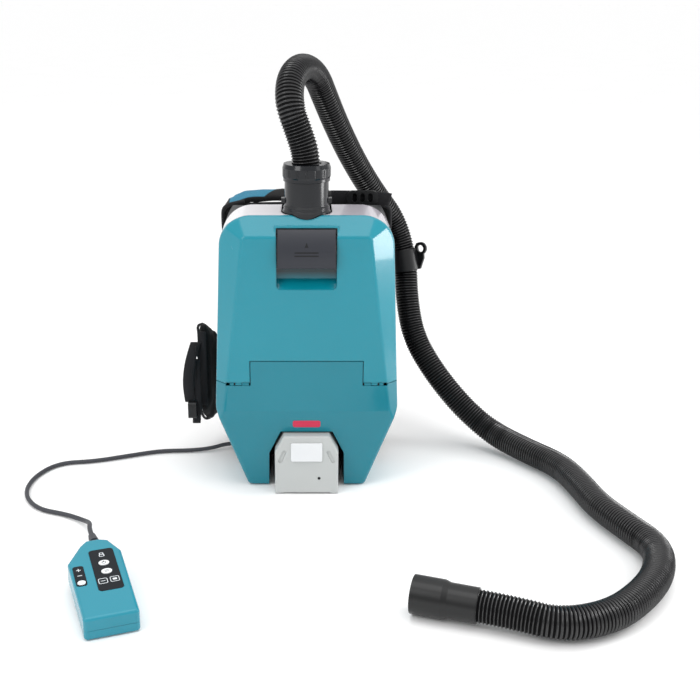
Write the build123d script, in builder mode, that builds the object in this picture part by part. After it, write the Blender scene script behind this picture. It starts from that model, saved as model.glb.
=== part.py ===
from build123d import *

import os
from math import cos, radians, sin, tan

# Battery backpack vacuum cleaner, standing upright on the floor, in millimetres.
# +Z is up, -Y is the front (the side away from the wearer), +X is to the right seen from the front.
# The origin is on the floor under the middle of the machine.

# ---------------------------------------------------------------- driving dimensions

# Front silhouette of the body
BASE_HALF = 76.0          # half width at the floor
WAIST_HALF = 115.5        # half width at its widest
WAIST_Z = 112.0           # height of the widest place
TOP_HALF = 106.5          # half width that the sides run to at the top
TOP_Z = 357.0
TOP_CORNER_R = 40.0
WAIST_R = 30.0
BASE_R = 7.0

# Body depths
FRONT_Y = -85.0
BEVEL_Y = -63.0           # where the top bevel meets the top face
SEAM_Y = 10.0             # back edge of the front cover and the lower housing
CASE_Y = 10.4             # front edge of the rear case
BACK_Y = 95.0             # back of the rear case
WALL = 3.0
CASE_TOP = 356.0          # rear case's top at its front edge; it slopes down to the back
CASE_FALL = 10.5          # degrees of that slope
FOOT_BACK = 20.0          # how far the lower front slopes back by the floor

# Cover and its parting from the lower housing
PARTING_Z = 149.0
TAB_HALF = 70.0
TAB_Z = 178.0
PARTING_GAP = 0.8
HOUSING_Z = PARTING_Z - PARTING_GAP
HINGE_Y, HINGE_Z = FRONT_Y + 1.8, PARTING_Z - 0.6   # axis of the cover's hinge
HINGE_PIN_R = 1.0
KNUCKLE_R = 1.9
GROOVE_LENGTH = 31.0

# Latch
LATCH_HALF = 34.8
POCKET_HALF = 36.5
POCKET_CORNER = 6.0
POCKET_Y = -71.0
PIVOT_Y, PIVOT_Z = -77.0, 334.0
LATCH_PIN_R = 1.6

# Suction inlet and hose
INLET_Y = -36.0
INLET_R = 27.0
INLET_TOP = 395.0
NOTCH_R = 31.4            # half width of the slot that the cover has round the inlet
HOSE_R = 18.0
HOSE_WALL = 2.0
CABLE_R = 2.75

# Battery and its bay
BAY_LOW, BAY_MID, BAY_TOP = (49.0, 0.0), (48.0, 50.0), (33.0, 82.0)
PACK_HALF = 40.5
PACK_FRONT, PACK_BACK = -91.0, 27.0
PACK_TOP = 80.0
CELL_R, CELL_LENGTH = 10.4, 70.0

# Motor
MOTOR_Y = 30.0
SHAFT_R = 3.0
RUNNING = 0.05            # radial running clearance

# Handset
HANDSET_TURN = 19.5       # degrees from +Y, turned to the left
HANDSET_TILT = 4.5        # degrees that its far end is raised
HANDSET_HALF = 29.5
HANDSET_NEAR, HANDSET_FAR = -3.0, 138.0
HANDSET_SPLIT, HANDSET_TOP = 11.0, 26.0

# Harness
PLATE_Y0, PLATE_Y1 = 95.4, 100.4

# Free hose: from the inlet, over the back of the machine, down its right side and round on the floor
HOSE_ROUTE = [
    (0, -36, 395), (0, -36, 424), (-9, -36.5, 452), (-21, -36, 484), (-20, -12, 514), (-6, 26, 527),
    (12, 64, 514), (25, 84, 481), (41, 104, 443), (64, 129, 396), (92, 146, 350), (126, 160, 305),
    (142, 153, 250),
    (144, 136, 196), (154, 120, 144), (183, 98, 98), (222, 76, 54), (263, 54, 23), (300, 6, 18.4),
    (336, -44, 18.4), (348, -100, 18.4), (355, -158, 18.4), (375, -212, 18.4), (396, -264, 18.4),
    (380, -318, 18.4), (347, -364, 18.4), (305, -402, 18.4), (252, -417, 18.6), (206, -397, 20.6),
    (174, -385.5, 20.6),
]
# Handset lead: from the gland low on the left side, round on the floor and into the handset's boot
CABLE_ROUTE = [
    (-93, 48, 10), (-112, 48, 10), (-134, 43, 4.6), (-165, 39, 3), (-205, 38, 3), (-248, 21, 3),
    (-292, 3, 3), (-340, -3, 3), (-363, -48, 3), (-362, -98, 3), (-336, -139, 3), (-296, -153, 3),
    (-268, -174, 5), (-256, -202, 17), (-251.2, -229.4, 24.4), (-243.7, -250.5, 26.2),
]

os.makedirs("parts", exist_ok=True)


def save(part, label):
    """Name a finished piece and write its STEP file."""
    part.label = label
    export_step(part, f"parts/{label}.step")


# ---------------------------------------------------------------- body form

HALF_TURN = 0.5 ** 0.5
BEVELS = [                # outward normal and a point of each flat that cuts the front edges
    ((0, -HALF_TURN, HALF_TURN), (0, BEVEL_Y, TOP_Z)),
    ((0.5, -HALF_TURN, 0.5), (95.3, BEVEL_Y, 345.3)),
    ((0.7046, -0.7046, 0.0867), (77, FRONT_Y, 337)),
]
SLOPE = ((0, -WAIST_Z, -FOOT_BACK), (0, FRONT_Y, WAIST_Z))


def inward(normal, point, depth):
    """Plane through a point, facing along normal, moved inward by depth."""
    direction = Vector(*normal).normalized()
    return Plane(origin=Vector(*point) - direction * depth, z_dir=direction)


with BuildSketch() as silhouette:
    with BuildLine():
        Polyline(
            (-BASE_HALF, 0), (BASE_HALF, 0), (WAIST_HALF, WAIST_Z), (TOP_HALF, TOP_Z),
            (-TOP_HALF, TOP_Z), (-WAIST_HALF, WAIST_Z), close=True,
        )
    make_face()
    fillet(silhouette.vertices().group_by(Axis.Y)[-1], TOP_CORNER_R)
    fillet(silhouette.vertices().group_by(Axis.Y)[0], BASE_R)
    fillet([v for v in silhouette.vertices() if abs(abs(v.X) - WAIST_HALF) < 0.01], WAIST_R)


def body_form(inset, back, bevelled=True):
    """Outer form of the body from its front to a given depth, with every face moved in by inset."""
    with BuildPart() as form:
        with BuildSketch(Plane.XZ.offset(-back)):
            add(silhouette.sketch)
            if inset:
                offset(amount=-inset)
        extrude(amount=back - FRONT_Y - inset)
        if bevelled:
            for normal, point in BEVELS:
                for side in (1, -1) if normal[0] else (1,):
                    cut = inward((side * normal[0], *normal[1:]), (side * point[0], *point[1:]), inset)
                    split(bisect_by=cut, keep=Keep.BOTTOM)
            split(bisect_by=inward(*SLOPE, inset), keep=Keep.BOTTOM)
    return form.part


outer_form = body_form(0, SEAM_Y)
inner_form = body_form(WALL, SEAM_Y + 1)


def bay_profile(grow, low):
    """Cross-section of the battery bay, grown outward, with its open side at height low."""
    with BuildSketch() as profile:
        with BuildLine():
            Polyline(
                (-BAY_LOW[0] - grow, low), (-BAY_MID[0] - grow, BAY_MID[1]),
                (-BAY_TOP[0] - grow * 0.7, BAY_TOP[1] + grow), (BAY_TOP[0] + grow * 0.7, BAY_TOP[1] + grow),
                (BAY_MID[0] + grow, BAY_MID[1]), (BAY_LOW[0] + grow, low), close=True,
            )
        make_face()
    return profile.sketch


bay_opening = bay_profile(0, -5)
bay_outside = bay_profile(2.5, 3.4)


# ---------------------------------------------------------------- front cover and lower housing

# Soft outer edges: every edge of the form that lies forward of the top face's back part
with BuildPart() as soft_form:
    add(outer_form)
    front_edges = [
        e for e in soft_form.edges()
        if e.center().Y < BEVEL_Y + 8 and e.bounding_box().max.Y < SEAM_Y - 5 and e.center().Z > 1
    ]
    fillet(front_edges, 6.0)

with BuildPart() as latch_pocket:
    with BuildSketch(Plane.YZ.offset(-POCKET_HALF)):
        with BuildLine():
            Polyline(
                (FRONT_Y - 15, 270.0), (FRONT_Y, 270.0), (POCKET_Y, 281.0), (POCKET_Y, 344.2),
                (FRONT_Y - 15, 344.2), close=True,
            )
        make_face()
    extrude(amount=2 * POCKET_HALF)
    with BuildSketch(Plane.XZ.offset(-POCKET_Y - 1)):
        with Locations((0, 270.0 + POCKET_HALF)):
            RectangleRounded(2 * POCKET_HALF, 2 * POCKET_HALF, POCKET_CORNER)
        with Locations((0, 270.0 + 2 * POCKET_HALF)):
            Rectangle(2 * POCKET_HALF, 20)
    extrude(amount=40, mode=Mode.INTERSECT)

with BuildPart() as front_cover:
    add(soft_form.part)
    add(inner_form, mode=Mode.SUBTRACT)
    # everything below the stepped parting line belongs to the lower housing
    with BuildSketch(Plane.XZ.offset(-SEAM_Y - 2)):
        with Locations((0, PARTING_Z / 2)):
            Rectangle(2 * WAIST_HALF + 10, PARTING_Z + 0.01)
    extrude(amount=SEAM_Y - FRONT_Y + 10, mode=Mode.SUBTRACT)
    with BuildSketch(Plane.XZ.offset(-FRONT_Y - 12)):
        with Locations((0, (PARTING_Z + TAB_Z) / 2)):
            Rectangle(2 * TAB_HALF + 2 * PARTING_GAP, TAB_Z - PARTING_Z + 2 * PARTING_GAP)
    extrude(amount=20, mode=Mode.SUBTRACT)
    # slot round the suction inlet, open to the back
    with BuildSketch(Plane.XY.offset(TOP_Z - 25)):
        with Locations((0, INLET_Y)):
            Circle(NOTCH_R)
        with Locations((0, (SEAM_Y + 5 + INLET_Y) / 2)):
            Rectangle(2 * NOTCH_R, SEAM_Y + 5 - INLET_Y)
    extrude(amount=40, mode=Mode.SUBTRACT)
    # pocket behind the latch, with a sloping floor for the fingers
    with BuildSketch(Plane.YZ.offset(-POCKET_HALF - 2.5)):
        with BuildLine():
            Polyline(
                (FRONT_Y + 0.5, 267.0), (POCKET_Y + 2.5, 280.0), (POCKET_Y + 2.5, 346.7),
                (POCKET_Y - 4.5, 346.7), (FRONT_Y + 0.5, 333.0), close=True,
            )
        make_face()
    extrude(amount=2 * POCKET_HALF + 5)
    add(latch_pocket.part, mode=Mode.SUBTRACT)
    # window that the latch's hook reaches through
    with BuildSketch(Plane.XZ.offset(-POCKET_Y + 2)):
        with Locations((0, 330.5)):
            Rectangle(26, 19)
    extrude(amount=-6, mode=Mode.SUBTRACT)
    # groove along the hinge, and the cover's knuckle in it on each side
    for side in (1, -1):
        with BuildSketch(Plane.YZ.offset(side * (TAB_HALF - 1))):
            with Locations((HINGE_Y, HINGE_Z)):
                Circle(KNUCKLE_R + 0.7)
        extrude(amount=side * GROOVE_LENGTH, mode=Mode.SUBTRACT)
        with BuildSketch(Plane.YZ.offset(side * 81)):
            with Locations((HINGE_Y, HINGE_Z)):
                Circle(KNUCKLE_R)
            with BuildLine():
                Polyline(
                    (HINGE_Y - 1.2, HINGE_Z), (HINGE_Y - 1.2, HINGE_Z + 5), (HINGE_Y + 1.2, HINGE_Z + 5),
                    (HINGE_Y + 1.9, HINGE_Z), close=True,
                )
            make_face()
            with Locations((HINGE_Y, HINGE_Z)):
                Circle(HINGE_PIN_R + RUNNING, mode=Mode.SUBTRACT)
        extrude(amount=side * 8)
    # seats of the latch pin
    with BuildSketch(Plane.YZ.offset(-POCKET_HALF - 2)):
        with Locations((PIVOT_Y, PIVOT_Z)):
            Circle(LATCH_PIN_R)
    extrude(amount=2 * POCKET_HALF + 4, mode=Mode.SUBTRACT)
save(front_cover.part, "front_cover")

with BuildPart() as cover_hinge_pins:
    for side in (1, -1):
        with BuildSketch(Plane.YZ.offset(side * (TAB_HALF + 2))):
            with Locations((HINGE_Y, HINGE_Z)):
                Circle(HINGE_PIN_R)
        extrude(amount=side * 24)
save(cover_hinge_pins.part, "cover_hinge_pins")

with BuildPart() as lower_housing:
    add(soft_form.part)
    add(inner_form, mode=Mode.SUBTRACT)
    # keep what lies below the parting line, with the raised tab in its middle
    with BuildSketch(Plane.XZ.offset(-SEAM_Y - 2)):
        with Locations((0, (HOUSING_Z + TOP_Z + 20) / 2)):
            Rectangle(2 * WAIST_HALF + 10, TOP_Z + 20 - HOUSING_Z)
        with Locations((0, (HOUSING_Z + TAB_Z) / 2)):
            Rectangle(2 * TAB_HALF, TAB_Z - HOUSING_Z, mode=Mode.SUBTRACT)
    extrude(amount=SEAM_Y - FRONT_Y + 10, mode=Mode.SUBTRACT)
    # groove along the hinge, with the housing's two knuckles on each side
    for side in (1, -1):
        with BuildSketch(Plane.YZ.offset(side * TAB_HALF)):
            with Locations((HINGE_Y, HINGE_Z)):
                Circle(KNUCKLE_R + 0.7)
        extrude(amount=side * GROOVE_LENGTH, mode=Mode.SUBTRACT)
        for near in (TAB_HALF + 2, 91):
            with BuildSketch(Plane.YZ.offset(side * near)):
                with Locations((HINGE_Y, HINGE_Z)):
                    Circle(KNUCKLE_R)
                with BuildLine():
                    Polyline(
                        (HINGE_Y - 1.2, HINGE_Z), (HINGE_Y - 1.2, HINGE_Z - 5), (HINGE_Y + 1.2, HINGE_Z - 5),
                        (HINGE_Y + 1.9, HINGE_Z), close=True,
                    )
                make_face()
                with Locations((HINGE_Y, HINGE_Z)):
                    Circle(HINGE_PIN_R, mode=Mode.SUBTRACT)
            extrude(amount=side * 8.5 if near < 80 else side * 5)
    # opening of the battery bay, through the front and the floor
    with BuildSketch(Plane.XZ.offset(-SEAM_Y - 2)):
        add(bay_opening)
    extrude(amount=SEAM_Y - FRONT_Y + 10, mode=Mode.SUBTRACT)
save(lower_housing.part, "lower_housing")

# ---------------------------------------------------------------- rear case

with BuildPart() as rear_case:
    with BuildSketch(Plane.XZ.offset(-BACK_Y)):
        add(silhouette.sketch)
    extrude(amount=BACK_Y - CASE_Y)
    case_slope = Plane(origin=(0, CASE_Y, CASE_TOP), x_dir=(1, 0, 0), z_dir=(0, tan(radians(CASE_FALL)), 1))
    split(bisect_by=case_slope, keep=Keep.BOTTOM)
    fillet(rear_case.faces().sort_by(Axis.Y)[-1].edges(), 9.0)
    with BuildSketch(Plane.XZ.offset(-BACK_Y + WALL)):
        add(silhouette.sketch)
        offset(amount=-WALL - 0.5)
        with Locations((0, TOP_Z)):
            Rectangle(2 * TOP_HALF + 20, 2 * (TOP_Z - CASE_TOP + WALL + 16), mode=Mode.SUBTRACT)
    extrude(amount=BACK_Y, mode=Mode.SUBTRACT)
    # strap hooks, one on each side
    for side in (1, -1):
        with BuildSketch(Plane.YZ.offset(side * 111)):
            with Locations((26, 138)):
                Circle(3.4)
        extrude(amount=side * 6.6)
    # the bay of the battery runs a little way into the case's floor
    with Locations((0, 19.5, 2)):
        Box(105, 28, 5, mode=Mode.SUBTRACT)
    # bridge over the bag compartment that carries the suction inlet
    with BuildSketch(Plane.XY.offset(TOP_Z - 8)):
        with Locations((0, INLET_Y)):
            Circle(NOTCH_R - 0.8)
        with Locations((0, (14 + INLET_Y) / 2)):
            Rectangle(2 * NOTCH_R - 1.6, 14 - INLET_Y)
        with Locations((0, INLET_Y)):
            Circle(INLET_R, mode=Mode.SUBTRACT)
    extrude(amount=3)
    with BuildSketch(Plane.XY.offset(336)):
        with Locations((0, 12.6)):
            Rectangle(2 * NOTCH_R - 1.6, 3.6)
    extrude(amount=18)
    # exhaust louvres through both sides
    with Locations(*[(0, 56, 66 + 8 * row) for row in range(8)]):
        Box(260, 42, 3.4, mode=Mode.SUBTRACT)
    # hole for the handset lead's gland, in the left side
    with BuildSketch(Plane.YZ.offset(-95)):
        with Locations((48, 10)):
            Circle(5.0)
    extrude(amount=30, mode=Mode.SUBTRACT)
save(rear_case.part, "rear_case")

# Soft seal between the cover and the rear case
with BuildPart() as cover_seal:
    add(body_form(WALL + 0.4, SEAM_Y - 0.2, bevelled=False))
    add(body_form(WALL + 3.4, SEAM_Y + 1, bevelled=False), mode=Mode.SUBTRACT)
    split(bisect_by=Plane.XZ.offset(-4), keep=Keep.BOTTOM)
    split(bisect_by=Plane.XY.offset(PARTING_Z + 5), keep=Keep.TOP)
    with BuildSketch(Plane.XY.offset(TOP_Z - 30)):
        Rectangle(2 * NOTCH_R + 2, 40)
    extrude(amount=40, mode=Mode.SUBTRACT)
save(cover_seal.part, "cover_seal")

# ---------------------------------------------------------------- battery bay

SLOPE_BACK = inward(*SLOPE, WALL + 0.3)

with BuildPart() as bay_liner:
    with BuildSketch(Plane.XZ.offset(-32.5)):
        add(bay_outside)
    extrude(amount=32.5 - FRONT_Y)
    split(bisect_by=SLOPE_BACK, keep=Keep.BOTTOM)
    with BuildSketch(Plane.XZ.offset(-30)):
        add(bay_opening)
    extrude(amount=30 - FRONT_Y, mode=Mode.SUBTRACT)
    # rails that the battery slides on
    for side in (1, -1):
        with BuildSketch(Plane.XZ.offset(-30)):
            with Locations((side * 31.5, 73.0)):
                Rectangle(14, 2.8)
        extrude(amount=80)
save(bay_liner.part, "bay_liner")

with BuildPart() as terminal_block:
    with BuildSketch(Plane.XZ.offset(-30)):
        with Locations((0, 62)):
            RectangleRounded(44, 16, 2)
    extrude(amount=2.6)
    with Locations((0, 25.0, 62)):
        Box(40, 5, 4)
    with Locations(*[(x, 26, 62) for x in (-15, -5, 5, 15)]):
        Box(1.6, 4, 4, mode=Mode.SUBTRACT)
save(terminal_block.part, "terminal_block")

# ---------------------------------------------------------------- battery pack

GROOVE_Z = 73.0


with BuildPart() as battery_case:
    with BuildSketch(Plane.XZ.offset(-PACK_BACK)):
        with BuildLine():
            Polyline(
                (-PACK_HALF, 0), (-PACK_HALF, 58), (-29, PACK_TOP), (29, PACK_TOP), (PACK_HALF, 58),
                (PACK_HALF, 0), close=True,
            )
        make_face()
    extrude(amount=PACK_BACK - PACK_FRONT)
    fillet(battery_case.faces().sort_by(Axis.Y)[0].edges(), 2.5)
    # shallow step under the front, between two feet
    with Locations((0, PACK_FRONT + 7, 1)):
        Box(62, 16, 2, mode=Mode.SUBTRACT)
    with BuildSketch(Plane.XZ.offset(-PACK_BACK + 2)):
        with Locations((0, 28)):
            Rectangle(2 * PACK_HALF - 5, 46)
    extrude(amount=113, mode=Mode.SUBTRACT)
    # grooves for the bay's rails, open to the back
    for side in (1, -1):
        with BuildSketch(Plane.XZ.offset(-PACK_BACK)):
            with Locations((side * 33, GROOVE_Z)):
                Rectangle(18, 3.8)
        extrude(amount=80, mode=Mode.SUBTRACT)
    # slot for the terminal block and the stem of the release button
    with BuildSketch(Plane.XZ.offset(-PACK_BACK)):
        with Locations((0, 62)):
            Rectangle(42, 6)
    extrude(amount=6, mode=Mode.SUBTRACT)
    with BuildSketch(Plane.XZ.offset(-PACK_FRONT - 8.5)):
        with Locations((0, 59)):
            Rectangle(29, 21.4)
    extrude(amount=12, mode=Mode.SUBTRACT)
    # finger grips either side of the button
    for side in (1, -1):
        with BuildSketch(Plane.XZ.offset(-PACK_FRONT - 1.6)):
            with Locations(Location((side * 31, 52), side * 24)):
                SlotOverall(18, 5, rotation=90)
        extrude(amount=5, mode=Mode.SUBTRACT)
save(battery_case.part, "battery_case")

with BuildPart() as battery_cells:
    for row in range(5):
        for level in range(2):
            with BuildSketch(Plane.YZ.offset(-CELL_LENGTH / 2)):
                with Locations((-73 + 21.4 * row, 16.4 + 21.2 * level)):
                    Circle(CELL_R)
            extrude(amount=CELL_LENGTH)
save(battery_cells.part, "battery_cells")

with BuildPart() as battery_button:
    with BuildSketch(Plane.XZ.offset(-PACK_FRONT + 0.1)):
        with Locations((0, 58.5)):
            RectangleRounded(40, 25, 2)
    extrude(amount=2.2)
    fillet(battery_button.faces().sort_by(Axis.Y)[0].edges(), 0.8)
    with BuildSketch(Plane.XZ.offset(-PACK_FRONT - 7.4)):
        with Locations((0, 61.5)):
            Rectangle(28, 15)
    extrude(amount=7.6)
save(battery_button.part, "battery_button")

with BuildPart() as button_spring:
    with BuildLine():
        Helix(pitch=1.6, height=4.6, radius=1.6, center=(0, -85.8, 48.8))
    with BuildSketch(Plane(origin=(1.6, -85.8, 48.8), z_dir=(0, 1, 0.16))):
        Circle(0.35)
    sweep(is_frenet=True)
save(button_spring.part, "button_spring")

# ---------------------------------------------------------------- latch

with BuildPart() as cover_latch:
    with BuildSketch(Plane.YZ.offset(-LATCH_HALF)):
        with BuildLine():
            ThreePointArc((-79.0, 343.4), (-92.0, 321.0), (-91.9, 298.4))
            Line((-91.9, 298.4), (-88.2, 297.0))
            ThreePointArc((-88.2, 297.0), (-87.6, 319.0), (-76.4, 340.0))
            Line((-76.4, 340.0), (-79.0, 343.4))
        make_face()
    extrude(amount=2 * LATCH_HALF)
    # two ears on the pin, and the hook between them
    for left in (-33.0, 30.0):
        with BuildSketch(Plane.YZ.offset(left)):
            with BuildLine():
                Polyline(
                    (-89.5, 318), (-79.4, 343), (-75.2, 338.2), (-73.6, 334), (-75.0, 331), close=True,
                )
            make_face()
        extrude(amount=3.0)
    with BuildSketch(Plane.YZ.offset(-9)):
        with BuildLine():
            Polyline(
                (-89.8, 312), (-89.0, 322), (-81.0, 338), (-76.0, 337.2), (-64.0, 333.4), (-64.0, 330.6),
                (-76.0, 330.8), close=True,
            )
        make_face()
    extrude(amount=18)
    with BuildSketch(Plane.YZ.offset(-LATCH_HALF)):
        with Locations((PIVOT_Y, PIVOT_Z)):
            Circle(LATCH_PIN_R + RUNNING)
    extrude(amount=2 * LATCH_HALF, mode=Mode.SUBTRACT)
save(cover_latch.part, "cover_latch")

with BuildPart() as latch_pin:
    with BuildSketch(Plane.YZ.offset(-POCKET_HALF - 2)):
        with Locations((PIVOT_Y, PIVOT_Z)):
            Circle(LATCH_PIN_R)
    extrude(amount=2 * POCKET_HALF + 4)
save(latch_pin.part, "latch_pin")

# Coil of the torsion spring, loose on the pin between the hook and an ear
with BuildPart() as latch_spring:
    with BuildSketch(Plane.YZ.offset(14)):
        with Locations((PIVOT_Y, PIVOT_Z)):
            Circle(2.9)
            Circle(2.1, mode=Mode.SUBTRACT)
    extrude(amount=10)
save(latch_spring.part, "latch_spring")

# ---------------------------------------------------------------- suction inlet and swivelling cuff

INLET_PLANE = Plane(origin=(0, INLET_Y, 0), x_dir=(1, 0, 0), z_dir=(0, -1, 0))

with BuildPart() as inlet_collar:
    with BuildSketch(INLET_PLANE):
        with BuildLine():
            Polyline(
                (23.5, 326), (INLET_R, 326), (INLET_R, 352), (29.8, 352), (29.8, 358.5), (28.4, 360.5),
                (28.4, 364), (INLET_R, 366), (INLET_R, INLET_TOP), (22.0, INLET_TOP), (22.0, 408),
                (HOSE_R + 0.5, 408), (HOSE_R + 0.5, INLET_TOP), (16.0, INLET_TOP), (16.0, 392),
                (23.5, 386), close=True,
            )
        make_face()
    revolve(axis=Axis((0, INLET_Y, 0), (0, 0, 1)))
    # bayonet lugs
    with Locations((-28.6, INLET_Y, 371), (28.6, INLET_Y, 371)):
        Box(4.8, 10, 6)
    # rib that the latch's hook holds
    with Locations((0, INLET_Y - 29.2, 342)):
        Box(18, 5.4, 4)
    with BuildSketch(Plane.XY.offset(320)):
        with Locations((0, INLET_Y)):
            Circle(23.4)
    extrude(amount=66, mode=Mode.SUBTRACT)
save(inlet_collar.part, "inlet_collar")

with BuildPart() as swivel_cuff:
    with BuildSketch(INLET_PLANE):
        with BuildLine():
            Polyline(
                (22.0 + RUNNING, 395.4), (28.6, 395.4), (28.6, 399), (29.6, 401), (29.6, 411), (28.0, 416),
                (HOSE_R + 0.4, 416), (HOSE_R + 0.4, 408.6), (22.0 + RUNNING, 408.6), close=True,
            )
        make_face()
    revolve(axis=Axis((0, INLET_Y, 0), (0, 0, 1)))
    # grip flutes round the cuff
    with BuildSketch(Plane.XY.offset(401.5)):
        with Locations((0, INLET_Y)):
            with PolarLocations(30.6, 16):
                Circle(1.8)
    extrude(amount=9, mode=Mode.SUBTRACT)
save(swivel_cuff.part, "swivel_cuff")

with BuildPart() as inlet_seal:
    with BuildSketch(Plane.XY.offset(320.2)):
        with Locations((0, INLET_Y)):
            Circle(29)
            Circle(21, mode=Mode.SUBTRACT)
    extrude(amount=5.6)
save(inlet_seal.part, "inlet_seal")

# ---------------------------------------------------------------- dust bag and filter

with BuildPart() as bag_collar:
    with BuildSketch(Plane.XY.offset(317.0)):
        with Locations((0, INLET_Y + 10)):
            RectangleRounded(100, 72, 6)
        with Locations((0, INLET_Y)):
            Circle(20, mode=Mode.SUBTRACT)
    extrude(amount=3)
save(bag_collar.part, "bag_collar")

with BuildPart() as bag_holder:
    for side in (1, -1):
        with BuildSketch(Plane.XZ.offset(-91.5)):
            with Locations((side * 52.5, 318.5)):
                Rectangle(9, 8)
        extrude(amount=150)
        with BuildSketch(Plane.XZ.offset(-91.6)):
            with Locations((side * 49.5, 318.5)):
                Rectangle(5, 3.4)
        extrude(amount=151, mode=Mode.SUBTRACT)
    with Locations((0, 87, 318.5)):
        Box(96, 9, 8)
save(bag_holder.part, "bag_holder")

with BuildPart() as dust_bag:
    with Locations((0, 12, 250)):
        Box(176, 134, 122)
    fillet(dust_bag.edges(), 24)
    with BuildSketch(Plane.XY.offset(300)):
        with Locations((0, INLET_Y)):
            Circle(24)
    extrude(amount=16.8)
save(dust_bag.part, "dust_bag")

with BuildPart() as motor_bulkhead:
    with BuildSketch(Plane.XY.offset(152)):
        with Locations((0, 6)):
            RectangleRounded(206, 164, 10)
        with Locations((0, MOTOR_Y)):
            with PolarLocations(11, 6):
                Circle(3.6, mode=Mode.SUBTRACT)
            with PolarLocations(22, 12):
                Circle(3.6, mode=Mode.SUBTRACT)
    extrude(amount=3)
save(motor_bulkhead.part, "motor_bulkhead")

with BuildPart() as filter_frame:
    with BuildSketch(Plane.XY.offset(155.2)):
        with Locations((0, MOTOR_Y - 10)):
            RectangleRounded(152, 112, 5)
            Rectangle(142, 102, mode=Mode.SUBTRACT)
    extrude(amount=24)
save(filter_frame.part, "filter_frame")

# Pleated filter paper, folded front to back
PLEATS, PLEAT_PITCH = 23, 6.0
with BuildPart() as hepa_filter:
    with BuildSketch(Plane.XZ.offset(-(MOTOR_Y - 10) - 50)):
        with BuildLine():
            top = [
                (PLEAT_PITCH * (i / 2 - PLEATS / 2), 177.5 if i % 2 else 158.5)
                for i in range(2 * PLEATS + 1)
            ]
            under = [(x, z - 2.4) for x, z in reversed(top)]
            Polyline(*top, *under, close=True)
        make_face()
    extrude(amount=100)
save(hepa_filter.part, "hepa_filter")

# ---------------------------------------------------------------- motor

MOTOR_AXIS = Axis((0, MOTOR_Y, 0), (0, 0, 1))
MOTOR_PLANE = Plane(origin=(0, MOTOR_Y, 0), x_dir=(1, 0, 0), z_dir=(0, -1, 0))

with BuildPart() as motor_can:
    with BuildSketch(MOTOR_PLANE):
        with BuildLine():
            Polyline(
                (8, 90), (46, 90), (46, 148), (17, 148), (17, 145.5), (43.5, 145.5), (43.5, 92.5),
                (8, 92.5), close=True,
            )
        make_face()
    revolve(axis=MOTOR_AXIS)
    with BuildSketch(Plane.XY.offset(89)):
        with Locations((0, MOTOR_Y)):
            with PolarLocations(27, 8):
                Circle(6)
    extrude(amount=5, mode=Mode.SUBTRACT)
save(motor_can.part, "motor_can")

with BuildPart() as motor_seal:
    with BuildSketch(Plane.XY.offset(148.2)):
        with Locations((0, MOTOR_Y)):
            Circle(38)
            Circle(28, mode=Mode.SUBTRACT)
    extrude(amount=3.6)
save(motor_seal.part, "motor_seal")

with BuildPart() as motor_stator:
    with BuildSketch(Plane.XY.offset(97)):
        with Locations((0, MOTOR_Y)):
            Circle(43.4)
            Circle(15.5, mode=Mode.SUBTRACT)
            with PolarLocations(30, 9):
                Circle(6.5, mode=Mode.SUBTRACT)
    extrude(amount=16)
save(motor_stator.part, "motor_stator")

with BuildPart() as shaft_bearings:
    with BuildSketch(Plane.XY.offset(90.5)):
        with Locations((0, MOTOR_Y)):
            Circle(7.9)
            Circle(SHAFT_R + RUNNING, mode=Mode.SUBTRACT)
    extrude(amount=5)
    with BuildSketch(Plane.XY.offset(115)):
        with Locations((0, MOTOR_Y)):
            Circle(43.4)
            Circle(SHAFT_R + RUNNING, mode=Mode.SUBTRACT)
            with PolarLocations(28, 6):
                Circle(9, mode=Mode.SUBTRACT)
    extrude(amount=5)
save(shaft_bearings.part, "shaft_bearings")

with BuildPart() as motor_shaft:
    with BuildSketch(MOTOR_PLANE):
        with BuildLine():
            Polyline(
                (0, 90.5), (SHAFT_R, 90.5), (SHAFT_R, 97.5), (15, 97.5), (15, 112.5), (SHAFT_R, 112.5),
                (SHAFT_R, 142), (0, 142), close=True,
            )
        make_face()
    revolve(axis=MOTOR_AXIS)
save(motor_shaft.part, "motor_shaft")

with BuildPart() as impeller:
    with BuildSketch(Plane.XY.offset(124)):
        with Locations((0, MOTOR_Y)):
            Circle(40)
            Circle(SHAFT_R, mode=Mode.SUBTRACT)
    extrude(amount=2)
    with BuildSketch(Plane.XY.offset(126)):
        with Locations((0, MOTOR_Y)):
            Circle(7)
            Circle(SHAFT_R, mode=Mode.SUBTRACT)
            for blade in range(9):
                with Locations(Location((0, 0), 40 * blade)):
                    with Locations(Location((22, 4), 24)):
                        Rectangle(30, 1.6)
    extrude(amount=13)
save(impeller.part, "impeller")

with BuildPart() as controller_board:
    with Locations((0, 60, 48)):
        Box(96, 1.6, 56)
    with Locations((-24, 66.8, 54), (-4, 66.8, 54)):
        Cylinder(8, 12, rotation=(90, 0, 0))
    with Locations((28, 64.8, 40)):
        Box(34, 8, 26)
save(controller_board.part, "controller_board")

# ---------------------------------------------------------------- harness

with BuildPart() as back_plate:
    with BuildSketch(Plane.XZ.offset(-PLATE_Y1)) as plate_outline:
        with BuildLine():
            Polyline((-92, 44), (92, 44), (97, 84), (97, 210), (72, 336), (-72, 336), (-97, 210),
                     (-97, 84), close=True)
        make_face()
        fillet(plate_outline.vertices(), 14)
        with Locations((0, 320)):
            SlotOverall(90, 8, mode=Mode.SUBTRACT)
    extrude(amount=PLATE_Y1 - PLATE_Y0)
save(back_plate.part, "back_plate")

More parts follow.
